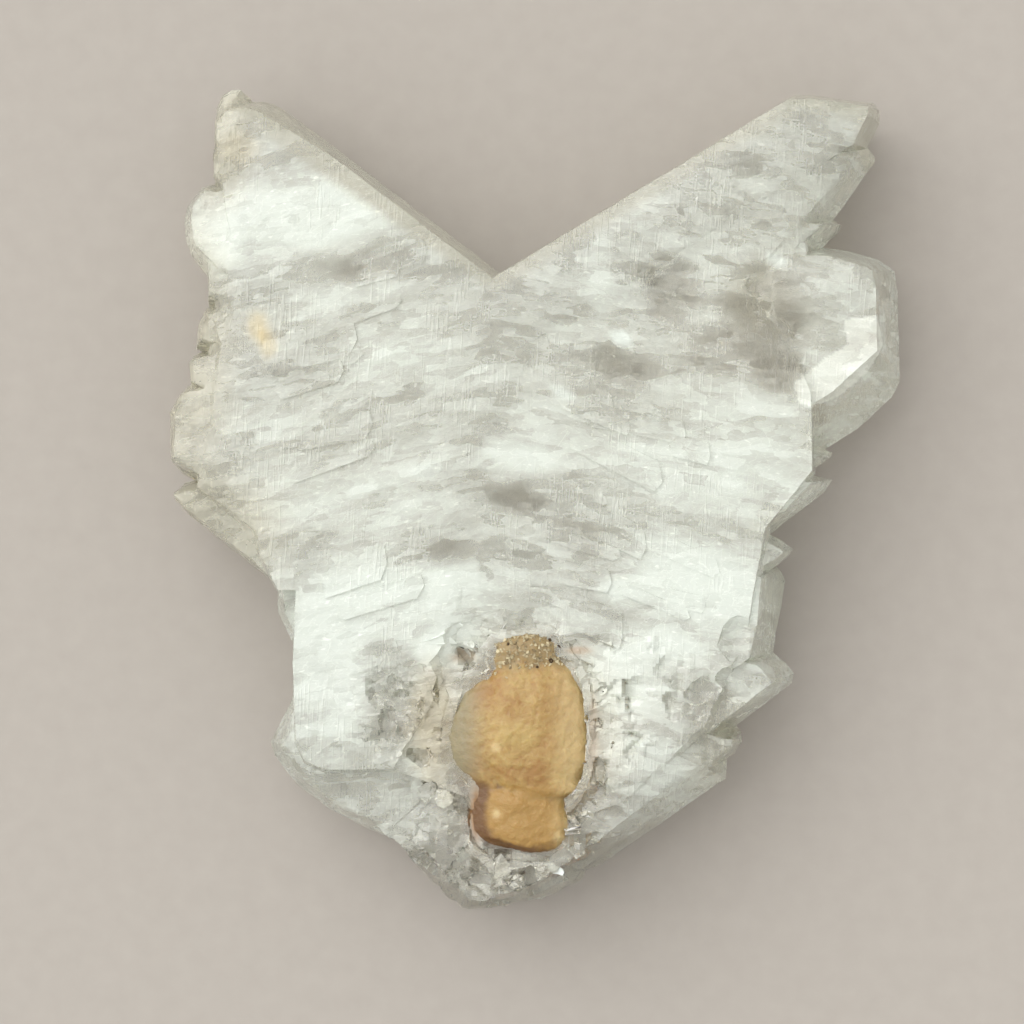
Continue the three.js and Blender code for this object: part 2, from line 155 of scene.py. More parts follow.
def mark(piece, name, rule, kind="FLOAT"):  # a value for each vertex, which materials and shaping read
    layer = piece.data.attributes.new(name, kind, "POINT")
    for vertex in piece.data.vertices:
        if kind == "FLOAT":
            layer.data[vertex.index].value = rule(vertex)
        else:
            layer.data[vertex.index].vector = rule(vertex)


def smoothstep(low, high, value):
    t = min(max((value - low) / (high - low), 0.0), 1.0)
    return t * t * (3 - 2 * t)


# The camera, made first: it looks almost straight down.

view = {"lookAt": (-2.03, -1.15, 7.5), "widthMm": 102.4, "reachMm": 300.0, "leanDeg": 4.0}


def makeCamera():
    target = place(*view["lookAt"])
    lean = math.radians(view["leanDeg"])
    reach = view["reachMm"] * millimetre
    bpy.ops.object.camera_add(location=target + Vector((math.sin(lean), 0, math.cos(lean))) * reach,
                              rotation=(0, lean, 0))
    camera = bpy.context.object
    camera.data.sensor_width = camera.data.sensor_height = 36
    camera.data.angle = 2 * math.atan(view["widthMm"] / 2 / view["reachMm"])
    camera.data.clip_start = 0.01
    bpy.context.scene.camera = camera


makeCamera()
print("camera placed")

# Light and floor.

studio = {
    "skyColour": "#F3F4F4", "dimSky": 0.55, "brightSky": 1.65,
    "boxSide": (-0.50, 0.48, 0.72), "boxStrength": 2.3, "boxEdge": (0.72, 0.98),
    "floorColour": "#A39C94", "floorFleck": "#9B948C", "floorHalfMm": 1500, "fibreMm": 2.2,
    "airGapMm": 0.05,  # a flat stone never sits closer than this, and light needs the gap
}


def makeStudio():  # a pale sky that brightens to one side, where a round soft box hangs
    scene = bpy.context.scene
    world = bpy.data.worlds.new("softSky")
    scene.world = world
    world.use_nodes = True
    world.cycles.sampling_method = "NONE"
    tree = world.node_tree
    side = Vector(studio["boxSide"]).normalized()
    toward = addNode(tree, "ShaderNodeVectorMath", {"operation": "DOT_PRODUCT", 1: side},
                     {0: addNode(tree, "ShaderNodeTexCoord").outputs["Generated"]})
    sky = addNode(tree, "ShaderNodeMapRange", {"From Min": -1.0, "To Min": studio["dimSky"],
                  "To Max": studio["brightSky"]}, {"Value": toward.outputs["Value"]})
    low, high = studio["boxEdge"]
    box = addNode(tree, "ShaderNodeMapRange", {"interpolation_type": "SMOOTHSTEP", "From Min": low,
                  "From Max": high, "To Max": studio["boxStrength"]}, {"Value": toward.outputs["Value"]})
    glow = addNode(tree, "ShaderNodeMath", {"operation": "ADD"}, {0: sky.outputs[0], 1: box.outputs[0]})
    background = tree.nodes["Background"]
    background.inputs["Color"].default_value = toLinear(studio["skyColour"])
    tree.links.new(glow.outputs[0], background.inputs["Strength"])
    scene.view_settings.view_transform = "Standard"
    cycles = scene.cycles  # light crosses several films before it leaves the crystal
    cycles.max_bounces = 6
    cycles.diffuse_bounces = 4
    cycles.glossy_bounces = 6
    cycles.transmission_bounces = 6
    cycles.transparent_max_bounces = 8
    cycles.caustics_reflective = True
    cycles.caustics_refractive = True


def makeFloor():
    bpy.ops.mesh.primitive_plane_add(size=2 * studio["floorHalfMm"] * millimetre,
                                     location=place(0, 0, -studio["airGapMm"]))
    floor = bpy.context.object
    floor.name = "studio_floor"
    material, tree = newMaterial("matte card")  # uncoated card: no gloss, faint mottling from its pulp
    spot = addNode(tree, "ShaderNodeTexCoord")
    pulp = addNode(tree, "ShaderNodeTexNoise", {"Scale": 1 / (studio["fibreMm"] * millimetre), "Detail": 4},
                   {"Vector": spot.outputs["Object"]})
    tint = addNode(tree, "ShaderNodeMix", {"data_type": "RGBA", 6: toLinear(studio["floorColour"]),
                   7: toLinear(studio["floorFleck"])}, {0: pulp.outputs["Fac"]})
    card = addNode(tree, "ShaderNodeBsdfPrincipled", {"Roughness": 0.9, "Specular IOR Level": 0.2},
                   {"Base Color": tint.outputs[2]})
    addNode(tree, "ShaderNodeOutputMaterial", None, {"Surface": card.outputs[0]})
    floor.data.materials.append(material)


makeStudio()
makeFloor()
print("studio ready")

# The twin plane, and how far the growth streaks drop away from it on either side.

twin = {"notchX": -2.9, "notchY": 22.8, "seamLean": 0.063, "streakDrop": 0.14}


def seamX(y):  # the twin plane, leaning a little to the right as it climbs
    return twin["notchX"] + (y - twin["notchY"]) * twin["seamLean"]


# The selenite.

crystal = {
    "gridMm": 0.6, "softenPasses": 110, "mergeMm": 0.24, "sharpDeg": 14,
    # the glass that closes over the buried calcite: how far past the lump it grows, and the plane of its top
    "plugVoxelMm": 0.45, "plugGrowMm": 1.0, "plugTop": ((0.0, -22.0, 15.0), (0.02, -0.045, 1.0)),
    # the last colour on the next line is painted shade: the dark brown of the buried lump's shaded sides,
    # seen through the glass
    "clear": "#F4F1E4", "milky": "#ECF1E7", "etchedTint": "#E2DDC9", "stain": "#D9C8A0", "throughGlassShade": "#8A5A12",
    "absorb": "#E2E1C2", "absorbPerMetre": 3.6, "ior": 1.52,
    "facetRough": 0.05, "etchedRough": 0.26, "underRough": 0.5, "leastRough": 0.03,
    "addedRough": {"crushed": -0.12, "etched": 0.12},
    # size of each pattern across the twin axis, along it and through the plate
    "patternMm": {"hair": (0.20, 3.2, 1.2), "hairPatch": (6.0, 6.0, 6.0), "wisp": (5.5, 2.0, 3.0),
                  "crinkle": (0.9, 0.9, 0.9), "fleck": (1.0, 0.38, 0.6), "crack": (6.12, 3.4, 3.4),
                  "longChip": (6.5, 2.1, 4.0), "shortChip": (2.4, 0.8, 4.0)},
    # how much each pattern adds to the crowding of films, and how clear the bevel stays
    "crowdBase": -1.34, "crowdShare": {"crowding": 1.1, "wisp": 1.4, "longChip": 0.68, "shortChip": 0.60},
    "bevelClear": 0.85, "bevelTint": 0.7,
    # share of scattered light: from the clearest to where films crowd, and what each kind of mark adds
    "haze": (0.06, 0.52),
    "addedHaze": {"shortChip": 0.05, "facet": 0.20, "etched": 0.05, "hair": 0.055, "crack": 0.10,
                  "fleck": 0.14, "crushed": 0.09, "stain": 0.25, "throughGlassShade": 0.55},
    "bumpMm": 0.1, "bumpStrength": 0.7, "relief": {"crinkle": 0.8, "hair": 0.5},
    # relief cut into the mesh: broken shards, each size with its slope, growth terraces and etch pits
    "shards": ((1.5, 0.7), (3.2, 0.7), (6.0, 0.5)), "shardSinkMm": 0.45, "shardsFromMm": 11, "offLumpMm": 5,
    "terraceMm": 0.14, "terracesPerMm": (0.11, 0.42, 0.3), "pitMm": 1.3, "pitDeepMm": 0.18,
    "reliefFromMm": 1.5, "overLump": 0.15,  # what is left of the shards where the glass lies over the lump
    # x, y, half width, half height, strength: where the crystal is crushed to shards, and where it is etched
    "crushed": ((-0.5, -23.0, 12.0, 11.5, 1.0), (-12.5, -21.0, 5.0, 5.5, 0.8), (9.5, -19.0, 6.0, 7.0, 0.7),
                (-4.0, -35.5, 12.0, 6.0, 0.8), (17.0, -20.0, 4.0, 6.0, 0.5)),
    "etched": ((-35.0, 14.0, 7.0, 16.0, 1.0), (-31.0, -3.0, 8.0, 6.5, 0.8), (22.5, 19.5, 3.5, 4.0, 0.6),
               (-30.5, 36.0, 4.0, 8.0, 0.9), (20.0, -25.0, 5.0, 6.0, 0.4)),
    "stains": ((-26.4, 17.0, 1.3, 1.8, 0.8), (-25.4, 15.2, 1.1, 1.6, 0.7), (-28.4, 34.6, 2.6, 1.9, 0.35),
               (-0.5, -24.0, 10.5, 12.0, 0.35), (-9.4, -21.5, 2.6, 6.5, 0.4)),
    # x, y, half width, half height, strength: dark brown painted as shade in the glass along the buried
    # lump's edges
    "throughGlassShadeSpots": ((-5.0, -30.6, 0.9, 3.4, 0.9), (6.4, -23.0, 0.6, 5.0, 0.4), (5.0, -14.6, 1.6, 0.5, 0.6),
              (-6.4, -15.4, 1.5, 0.6, 0.5)),
    # the smooth bevel along the notch and over the right tip
    "bevel": ((-27.5, 39.6), (-3.0, 22.9), (26.0, 40.2), (34.6, 38.6), (34.2, 34.5)), "bevelMm": (1.5, 2.9),
    # where steps and pits of the face fade out; the last number is the height that the zone starts from
    "softened": ((16.0, 24.5, 20.0, 13.0, 14.6), (-3.0, 0.0, 6.0, 22.0, 14.6),
                 (-28.0, 35.0, 5.5, 8.0, 11.5), (-31.0, 12.0, 6.0, 15.0, 11.0),
                 (-17.0, -27.0, 12.0, 6.0, 10.5), (15.0, -27.0, 9.0, 6.0, 11.0),
                 (-30.0, -3.0, 8.0, 6.0, 9.5), (24.0, 22.5, 6.0, 5.5, 9.0), (30.0, 28.0, 5.5, 7.0, 11.0)),
    # the bright facet of the side crystal, corner by corner, and the round patch of fine cells about it
    "facet": ((25.9, 11.3), (28.8, 13.7), (31.1, 15.1), (30.7, 17.4), (34.0, 18.0), (34.6, 15.1),
              (33.3, 12.6), (30.1, 10.0), (27.8, 9.0), (26.3, 9.4)),
    "facetFromMm": 8, "facetPatch": (30.4, 13.8, 6.8),
}
crowd = {
    # x, y, half width, half height, strength: where air films crowd in the crystal
    "bright": ((-22.5, 28.0, 11.5, 3.8, 0.9), (-31.5, 25.0, 4.0, 3.0, 0.8), (-14.0, -9.5, 12.0, 5.0, 0.9),
               (-20.0, -17.5, 4.5, 9.0, 0.8), (-16.0, 0.0, 12.0, 3.2, 0.5), (15.5, 2.5, 12.0, 4.0, 0.5),
               (16.0, -8.0, 9.0, 4.5, 1.0), (9.5, -17.5, 6.0, 4.0, 0.5), (-0.5, 4.2, 4.6, 1.7, 0.9),
               (21.0, 7.0, 6.5, 3.4, 0.4), (12.0, -25.0, 5.0, 3.5, 0.4), (2.0, 8.5, 4.0, 3.0, 0.2),
               (-7.6, -14.0, 3.6, 2.6, 0.9), (9.0, -9.0, 2.6, 1.4, 0.6), (13.0, -14.0, 5.0, 2.0, 0.7),
               (-29.6, 40.4, 1.6, 1.6, 0.9), (-9.2, -14.9, 1.9, 1.4, 0.8), (24.2, 23.3, 1.2, 0.7, 1.4),
               (9.2, 15.6, 1.1, 0.8, 1.3), (3.4, 10.4, 1.2, 0.5, 1.0), (-17.6, 20.0, 8.0, 1.2, 0.3),
               (-12.0, 14.0, 9.0, 2.0, 0.35), (7.0, 22.0, 1.6, 6.0, 0.3), (34.5, 16.0, 0.6, 3.0, 0.8),
               (-17.0, 27.5, 7.0, 3.0, 0.35)),
    # and where the crystal is clear
    "clear": ((-15.0, 23.2, 5.5, 1.8, 0.6), (13.8, 20.5, 3.2, 4.0, 0.55), (9.5, 13.5, 3.6, 3.6, 0.5),
              (19.0, 14.5, 4.0, 2.8, 0.5), (-1.0, 0.0, 3.0, 1.8, 0.6), (-9.5, -5.4, 5.2, 1.6, 0.7),
              (4.5, -3.0, 3.2, 2.4, 0.5), (8.0, -6.2, 3.8, 1.8, 0.5), (18.0, -21.0, 3.0, 3.5, 0.6),
              (24.0, -9.5, 1.8, 4.0, 0.7), (-3.0, -37.0, 14.0, 6.5, 1.2), (23.2, 18.0, 4.5, 5.5, 0.9),
              (24.2, 12.6, 2.6, 2.2, 1.0), (-8.0, 1.8, 5.5, 1.4, 0.4), (-0.5, -26.0, 9.5, 12.5, 0.8),
              (-12.5, -21.0, 4.0, 3.5, 0.7), (-9.2, -21.5, 2.0, 6.0, 0.4)),
}


def strength(point, spots, chevron=0.0):  # the sum of soft ellipses at a point, leaning with the chevron
    x, y = point.x / millimetre, point.y / millimetre
    total = 0.0
    for cx, cy, halfWide, halfHigh, height in spots:
        lean = (x - cx) * (-chevron if x > seamX(y) else chevron)
        away = math.hypot((x - cx) / halfWide, (y - cy - lean) / halfHigh)
        total += height * smoothstep(1.25, 0.4, away) if away < 1.25 else 0.0
    return total


def crowding(point):  # -1 where clear, 0 in the common haze, 1 in the densest films
    bright = strength(point, crowd["bright"], twin["streakDrop"])
    return max(-1.0, min(1.0, bright - strength(point, crowd["clear"], twin["streakDrop"])))


def alongGrain(point):  # millimetres along and across the chevron of the two halves, and up
    aside = point.x / millimetre - seamX(point.y / millimetre)
    return Vector((aside, point.y / millimetre + twin["streakDrop"] * abs(aside), point.z / millimetre))


def makePlug():  # fills the pocket below its rim, so that the buried calcite shows through the selenite
    plug = copyOfNode("honey_calcite_lump", "plug")
    applyModifier(plug, "REMESH", mode="VOXEL", voxel_size=crystal["plugVoxelMm"] * millimetre)
    applyModifier(plug, "DISPLACE", strength=crystal["plugGrowMm"] * millimetre, mid_level=0.0)
    applyModifier(plug, "REMESH", mode="VOXEL", voxel_size=crystal["plugVoxelMm"] * millimetre)
    middle, slant = crystal["plugTop"]
    openAll(plug)
    bpy.ops.mesh.bisect(plane_co=place(*middle), plane_no=slant, use_fill=True, clear_outer=True)
    bpy.ops.object.mode_set(mode="OBJECT")
    return plug


def cutGrid(piece, stepMm):  # bisects every facet into small flat cells and keeps its edges sharp
    corners = [Vector(c) for c in piece.bound_box]
    pickOnly(piece)
    bpy.ops.object.mode_set(mode="EDIT")
    for axis in range(3):
        low = min(c[axis] for c in corners)
        high = max(c[axis] for c in corners)
        count = int((high - low) / (stepMm * millimetre))
        for i in range(1, count + 1):
            point, normal = Vector(), Vector()
            point[axis] = low + i * (high - low) / (count + 1)
            normal[axis] = 1
            bpy.ops.mesh.select_all(action="SELECT")
            bpy.ops.mesh.bisect(plane_co=point, plane_no=normal)
    bpy.ops.object.mode_set(mode="OBJECT")


def onFacet(point):  # whether the place lies on the side crystal's bright facet
    x, y = point.x / millimetre, point.y / millimetre
    inside = False
    for (ax, ay), (bx, by) in zip(crystal["facet"], crystal["facet"][1:] + crystal["facet"][:1]):
        if (ay > y) != (by > y) and x < ax + (y - ay) * (bx - ax) / (by - ay):
            inside = not inside
    return inside and point.z > crystal["facetFromMm"] * millimetre


def awayFrom(x, y, ax, ay, bx, by):  # distance from a point to a stretch of line
    along = ((x - ax) * (bx - ax) + (y - ay) * (by - ay)) / ((bx - ax) ** 2 + (by - ay) ** 2)
    along = min(max(along, 0.0), 1.0)
    return math.hypot(x - ax - along * (bx - ax), y - ay - along * (by - ay))


def nearest(point, line):  # millimetres from a point to a line through the given corners, seen from above
    x, y = point.x / millimetre, point.y / millimetre
    return min(awayFrom(x, y, *a, *b) for a, b in zip(line, line[1:]))


def onBevel(point):
    narrow, wide = crystal["bevelMm"]
    return smoothstep(wide, narrow, nearest(point, crystal["bevel"]))


def refine(piece):  # finer cells where the shards are, and round the bright facet
    x, y, reach = crystal["facetPatch"]
    places = ((lambda point: strength(point, crystal["crushed"][:3]) > 0.35, 1),
              (lambda point: strength(point, crystal["crushed"][:1]) > 0.6, 1),
              (lambda point: math.hypot(point.x / millimetre - x, point.y / millimetre - y) < reach, 2))
    for test, cuts in places:
        selectVertices(piece, lambda point: point.z > crystal["shardsFromMm"] * millimetre and test(point))
        bpy.ops.mesh.select_mode(type="FACE")
        bpy.ops.mesh.subdivide(number_cuts=cuts, quadcorner="INNERVERT")
        bpy.ops.object.mode_set(mode="OBJECT")


def softenSteps(piece):  # levels the growth steps within the broad face, while its rim stays sharp
    for cx, cy, halfWide, halfHigh, fromMm in crystal["softened"]:
        zone = ((cx, cy, halfWide, halfHigh, 1.0),)
        inside = {}
        for vertex in piece.data.vertices:
            if vertex.co.z > fromMm * millimetre:
                share = strength(vertex.co, zone)
                if share > 0:
                    inside[vertex.index] = share
        for edge in piece.data.edges:
            a, b = edge.vertices
            if (a in inside) != (b in inside):
                low, high = sorted((a, b), key=lambda i: piece.data.vertices[i].co.z)
                if piece.data.vertices[low].co.z <= fromMm * millimetre:
                    inside[high] = 0.0
        group = piece.vertex_groups.new(name="steps")
        for index, share in inside.items():
            group.add([index], share, "REPLACE")
        applyModifier(piece, "SMOOTH", factor=0.5, iterations=crystal["softenPasses"], use_x=False,
                      use_y=False, vertex_group="steps")
        # cells squeezed thin by the smoothing are merged, but never near the pocket
        selectVertices(piece, lambda point: point.z > fromMm * millimetre and strength(point, zone) > 0.3
                       and strength(point, crystal["crushed"]) < 0.1)
        bpy.ops.mesh.remove_doubles(threshold=crystal["mergeMm"] * millimetre)
        bpy.ops.object.mode_set(mode="OBJECT")
        piece.vertex_groups.remove(piece.vertex_groups["steps"])


def skinTree():  # pushes the skin inwards: growth terraces, etch pits and the tilted faces of broken shards
    tree = newTree("skin")
    source = addNode(tree, "NodeGroupInput")
    spot = addNode(tree, "GeometryNodeInputPosition").outputs[0]
    facing = addNode(tree, "GeometryNodeInputNormal").outputs[0]
    grain, etched, crushed = (
        addNode(tree, "GeometryNodeInputNamedAttribute", {"data_type": kind, "Name": name}).outputs[0]
        for name, kind in (("grain", "FLOAT_VECTOR"), ("etched", "FLOAT"), ("crushed", "FLOAT")))
    drawn = addNode(tree, "ShaderNodeVectorMath", {"operation": "MULTIPLY", 1: crystal["terracesPerMm"]},
                    {0: grain})
    ledges = addNode(tree, "ShaderNodeTexNoise", {"Scale": 1.0, "Detail": 3.0}, {"Vector": drawn.outputs[0]})
    steps = addNode(tree, "ShaderNodeMapRange", {"interpolation_type": "STEPPED", "Steps": 8.0,
                    "From Min": 0.25, "From Max": 0.75, "To Min": crystal["terraceMm"], "To Max": 0.0},
                    {"Value": ledges.outputs[0]})
    pits = addNode(tree, "ShaderNodeTexVoronoi", {"Scale": 1 / (crystal["pitMm"] * millimetre)},
                   {"Vector": spot})
    etch = addNode(tree, "ShaderNodeMath", {"operation": "MULTIPLY"},
                   {0: pits.outputs["Distance"], 1: etched})
    sunk = crystal["shardSinkMm"]
    for sizeMm, slope in crystal["shards"]:
        cells = addNode(tree, "ShaderNodeTexVoronoi", {"Scale": 1 / (sizeMm * millimetre)}, {"Vector": spot})
        tilt = addNode(tree, "ShaderNodeVectorMath", {"operation": "SUBTRACT", 1: (0.5, 0.5, 0.5)},
                       {0: cells.outputs["Color"]})
        away = addNode(tree, "ShaderNodeVectorMath", {"operation": "SUBTRACT"},
                       {0: spot, 1: cells.outputs["Position"]})
        rise = addNode(tree, "ShaderNodeVectorMath", {"operation": "DOT_PRODUCT"},
                       {0: tilt.outputs[0], 1: away.outputs[0]})
        sunk = addNode(tree, "ShaderNodeMath", {"operation": "MULTIPLY_ADD", 1: slope / millimetre},
                       {0: rise.outputs["Value"], 2: sunk}).outputs[0]
    broken = addNode(tree, "ShaderNodeMath", {"operation": "MULTIPLY"}, {0: sunk, 1: crushed})
    first = addNode(tree, "ShaderNodeMath", {"operation": "MULTIPLY_ADD", 1: crystal["pitDeepMm"]},
                    {0: etch.outputs[0], 2: steps.outputs[0]})
    total = addNode(tree, "ShaderNodeMath", {"operation": "ADD"}, {0: broken.outputs[0], 1: first.outputs[0]})
    inward = addNode(tree, "ShaderNodeMath", {"operation": "MAXIMUM", 1: 0.0}, {0: total.outputs[0]})
    backed = addNode(tree, "ShaderNodeMath", {"operation": "MULTIPLY", 1: -millimetre},
                     {0: inward.outputs[0]})
    push = addNode(tree, "ShaderNodeVectorMath", {"operation": "SCALE"},
                   {0: facing, "Scale": backed.outputs[0]})
    above = addNode(tree, "ShaderNodeSeparateXYZ", None, {0: spot})
    high = addNode(tree, "ShaderNodeMath", {"operation": "GREATER_THAN",
                   1: crystal["reliefFromMm"] * millimetre}, {0: above.outputs["Z"]})
    moved = addNode(tree, "GeometryNodeSetPosition", None, {"Geometry": source.outputs[0],
                    "Selection": high.outputs[0], "Offset": push.outputs[0]})
    addNode(tree, "NodeGroupOutput", None, {0: moved.outputs[0]})
    return tree


def makeCrystal():
    piece = copyOfNode("selenite_twin", "selenite_crystal")
    plug = makePlug()
    applyModifier(piece, "BOOLEAN", operation="UNION", object=plug, solver="EXACT")
    removePiece(plug)
    cutGrid(piece, crystal["gridMm"])
    softenSteps(piece)
    refine(piece)
    lumpShape = BVHTree.FromObject(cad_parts["honey_calcite_lump"],
                                   bpy.context.evaluated_depsgraph_get())

    def brokenShare(point):  # low where the crystal lies over the lump as clear glass
        lumpBelow = lumpShape.ray_cast(point + place(0, 0, crystal["offLumpMm"]), Vector((0, 0, -1)))[0]
        share = min(1.0, strength(point, crystal["crushed"]))
        return share if lumpBelow is None else share * crystal["overLump"]

    mark(piece, "crowding", lambda vertex: crowding(vertex.co))
    mark(piece, "crushed", lambda vertex: brokenShare(vertex.co))
    mark(piece, "etched", lambda vertex: min(1.0, strength(vertex.co, crystal["etched"])))
    mark(piece, "bevel", lambda vertex: onBevel(vertex.co))
    mark(piece, "under", lambda vertex: float(vertex.co.z < 0.5 * millimetre))
    mark(piece, "stain", lambda vertex: strength(vertex.co, crystal["stains"]))
    # dark brown painted as shade along the buried lump's edges
    mark(piece, "throughGlassShade", lambda vertex: min(1.0, strength(vertex.co, crystal["throughGlassShadeSpots"])))
    mark(piece, "facet", lambda vertex: float(onFacet(vertex.co)))
    mark(piece, "grain", lambda vertex: alongGrain(vertex.co), "FLOAT_VECTOR")
    applyModifier(piece, "NODES", node_group=skinTree())
    pickOnly(piece)
    bpy.ops.object.shade_smooth_by_angle(angle=math.radians(crystal["sharpDeg"]))
    return piece


def seleniteMaterial():
    # Selenite, gypsum grown clear and cleaved into films: silky etched faces with hairlines along the twin
    # axis, milky where the films crowd, and glassy where it is clear or freshly broken.
    material, tree = newMaterial("selenite")
    grain = addNode(tree, "ShaderNodeAttribute", {"attribute_name": "grain"}).outputs["Vector"]
    field = {name: addNode(tree, "ShaderNodeAttribute", {"attribute_name": name}).outputs["Fac"]
             for name in ("crowding", "crushed", "etched", "stain", "throughGlassShade", "facet", "bevel", "under")}
    space = {}
    for name, sizes in crystal["patternMm"].items():
        drawn = addNode(tree, "ShaderNodeVectorMath", {"operation": "MULTIPLY",
                        1: [1 / size for size in sizes]}, {0: grain})
        space[name] = drawn.outputs[0]
    cloud = {}
    for name, detail, roughness in (("hair", 0.0, 0.5), ("hairPatch", 1.0, 0.5), ("wisp", 4.0, 0.62),
                                    ("crinkle", 1.0, 0.5), ("fleck", 1.0, 0.5)):
        noisy = addNode(tree, "ShaderNodeTexNoise", {"Scale": 1.0, "Detail": detail, "Roughness": roughness},
                        {"Vector": space[name]})
        cloud[name] = noisy.outputs["Fac"]
    for name, low, high in (("hairPatch", 0.40, 0.60), ("hair", 0.58, 0.72), ("fleck", 0.69, 0.76)):
        picked = addNode(tree, "ShaderNodeMapRange", {"From Min": low, "From Max": high},
                         {"Value": cloud[name]})
        field[name] = picked.outputs[0]
    field["hair"] = addNode(tree, "ShaderNodeMath", {"operation": "MULTIPLY"},
                            {0: field["hair"], 1: field["hairPatch"]}).outputs[0]
    field["wisp"], field["crinkle"] = cloud["wisp"], cloud["crinkle"]
    for name in ("longChip", "shortChip"):
        frayed = addNode(tree, "ShaderNodeVectorMath", {"operation": "MULTIPLY_ADD", 1: (1.5, 2.0, 0.0)},
                         {0: cloud["wisp"], 2: space[name]})
        cells = addNode(tree, "ShaderNodeTexVoronoi", {"distance": "CHEBYCHEV", "Scale": 1.0},
                        {"Vector": frayed.outputs[0]})
        field[name] = cells.outputs["Color"]
    bent = addNode(tree, "ShaderNodeVectorMath", {"operation": "MULTIPLY_ADD", 1: (1.1, 1.6, 0.7)},
                   {0: cloud["wisp"], 2: space["crack"]})
    edges = addNode(tree, "ShaderNodeTexVoronoi", {"feature": "DISTANCE_TO_EDGE"},
                    {"Vector": bent.outputs[0]})
    field["crack"] = addNode(tree, "ShaderNodeMapRange", {"From Min": 0.0, "From Max": 0.035, "To Min": 1.0,
                             "To Max": 0.0}, {"Value": edges.outputs["Distance"]}).outputs[0]

    def added(start, shares):  # the start, plus each named pattern times its share
        for name, share in shares.items():
            start = addNode(tree, "ShaderNodeMath", {"operation": "MULTIPLY_ADD", 1: share},
                            {0: field[name], 2: start}).outputs[0]
        return start

    # haze: the share of light that the films scatter
    level = addNode(tree, "ShaderNodeMix", {"data_type": "FLOAT", 3: 0.0},
                    {0: added(0.0, {"bevel": crystal["bevelClear"]}),
                     2: added(crystal["crowdBase"], crystal["crowdShare"])})
    field["milk"] = addNode(tree, "ShaderNodeMapRange", {"interpolation_type": "SMOOTHSTEP",
                            "From Min": -1.25, "From Max": 1.35}, {"Value": level.outputs[0]}).outputs[0]
    clearest, densest = crystal["haze"]
    haze = added(added(clearest, {"milk": densest - clearest}), crystal["addedHaze"])
    passing = addNode(tree, "ShaderNodeMath", {"operation": "SUBTRACT", 0: 1.0, "use_clamp": True}, {1: haze})
    tint = addNode(tree, "ShaderNodeMix", {"data_type": "RGBA", 6: toLinear(crystal["clear"]),
                   7: toLinear(crystal["milky"])}, {0: field["milk"]}).outputs[2]
    # the last tint paints shade along the buried lump's edges
    for share, colour in ((added(0.0, {"bevel": crystal["bevelTint"]}), "etchedTint"),
                          (field["etched"], "etchedTint"), (field["stain"], "stain"),
                          (field["throughGlassShade"], "throughGlassShade")):
        tint = addNode(tree, "ShaderNodeMix", {"data_type": "RGBA", 7: toLinear(crystal[colour])},
                       {0: share, 6: tint}).outputs[2]
    # relief and gloss
    ledges = addNode(tree, "ShaderNodeMapRange", {"interpolation_type": "STEPPED", "Steps": 7.0,
                     "From Min": 0.3, "From Max": 0.7}, {"Value": field["wisp"]})
    bump = addNode(tree, "ShaderNodeBump", {"Strength": crystal["bumpStrength"],
                   "Distance": crystal["bumpMm"] * millimetre},
                   {"Height": added(ledges.outputs[0], crystal["relief"])})
    worn = addNode(tree, "ShaderNodeMapRange", {"From Min": 0.35, "From Max": 0.65,
                   "To Min": crystal["facetRough"], "To Max": crystal["etchedRough"]},
                   {"Value": field["wisp"]})
    under = added(crystal["leastRough"], {"under": crystal["underRough"] - crystal["leastRough"]})
    rough = addNode(tree, "ShaderNodeMath", {"operation": "MAXIMUM"},
                    {0: added(worn.outputs[0], crystal["addedRough"]), 1: under})
    glassy = addNode(tree, "ShaderNodeBsdfPrincipled", {"IOR": crystal["ior"]},
                     {"Base Color": tint, "Roughness": rough.outputs[0], "Normal": bump.outputs[0],
                      "Transmission Weight": passing.outputs[0]})
    depth = addNode(tree, "ShaderNodeVolumeAbsorption", {"Color": toLinear(crystal["absorb"]),
                    "Density": crystal["absorbPerMetre"]})
    addNode(tree, "ShaderNodeOutputMaterial", None,
            {"Surface": glassy.outputs[0], "Volume": depth.outputs[0]})
    return material


selenite = makeCrystal()
selenite.data.materials.append(seleniteMaterial())
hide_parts("selenite_twin")
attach(selenite, "root")
print("selenite shaped:", len(selenite.data.polygons), "faces")

# What lies inside: air films along the cleavage, seen as bright splinters and flakes.

sheetPlan = {"gridMm": 0.9, "waveMm": 0.7, "wavesPerMetre": (90, 140), "layerShift": 7.7}


def makeSheets(name, depths, marginMm):  # level sheets inside the crystal
    solid = BVHTree.FromObject(selenite, bpy.context.evaluated_depsgraph_get())
    low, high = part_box("selenite_twin")
    across, along = sheetPlan["wavesPerMetre"]
    up = Vector((0, 0, 1))
    sheets = []

    def beyond(point):
        gap = solid.find_nearest(point)[3]
        facing = solid.ray_cast(point, up)[1]
        return gap < marginMm * millimetre or facing is None or facing.z < 0

    for layer, depth in enumerate(depths):
        columns = int((high.x - low.x) / (sheetPlan["gridMm"] * millimetre))
        rows = int((high.y - low.y) / (sheetPlan["gridMm"] * millimetre))
        bpy.ops.mesh.primitive_grid_add(x_subdivisions=columns, y_subdivisions=rows, size=1)
        sheet = bpy.context.object
        for vertex in sheet.data.vertices:
            x, y = vertex.co.x * (high.x - low.x), vertex.co.y * (high.y - low.y)
            wave = noise.noise(Vector((x * across, y * along, layer * sheetPlan["layerShift"])))
            vertex.co = Vector((x, y, (depth + wave * sheetPlan["waveMm"]) * millimetre))
        selectVertices(sheet, beyond)
        bpy.ops.mesh.delete(type="VERT")
        bpy.ops.object.mode_set(mode="OBJECT")
        sheets.append(sheet)
    piece = joinPieces(sheets, name)
    mark(piece, "crowding", lambda vertex: crowding(vertex.co))
    mark(piece, "room", lambda vertex: solid.find_nearest(vertex.co)[3])
    return piece


